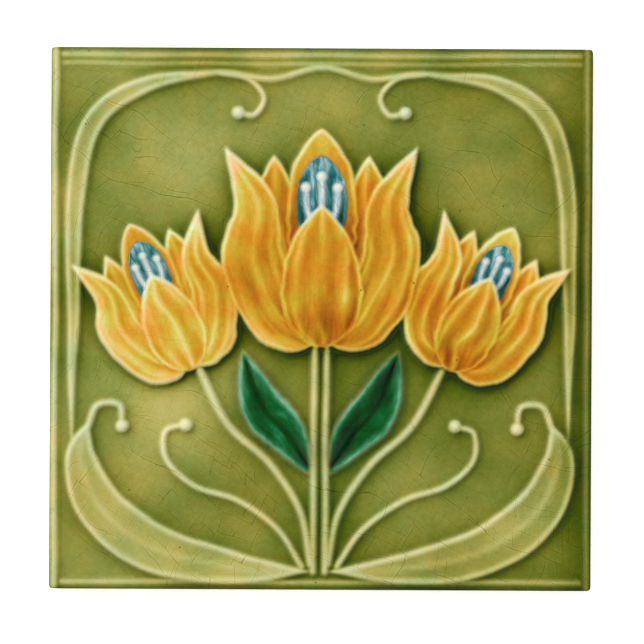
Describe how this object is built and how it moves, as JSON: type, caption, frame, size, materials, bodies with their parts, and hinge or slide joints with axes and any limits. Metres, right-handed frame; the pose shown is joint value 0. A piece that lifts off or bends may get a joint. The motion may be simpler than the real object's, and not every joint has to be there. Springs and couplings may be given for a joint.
{
  "type": "ceramic tile",
  "caption": "Square glazed earthenware wall tile with a moulded floral relief face and a grooved keying back.",
  "frame": {"origin": "centre of the back face, on the plane that the tile is bedded on", "axes": "+Z out of the glazed face, +Y to the top of the picture, +X to its right"},
  "size_m": [0.1524, 0.1524, 0.0098],
  "materials": {
    "glazed_earthenware": "glossy majolica glaze, olive green with amber, emerald and teal, pooled dark beside the relief and thin on its crests"
  },
  "bodies": {
    "root": {"tile": "glazed_earthenware"}
  },
  "joints": []
}
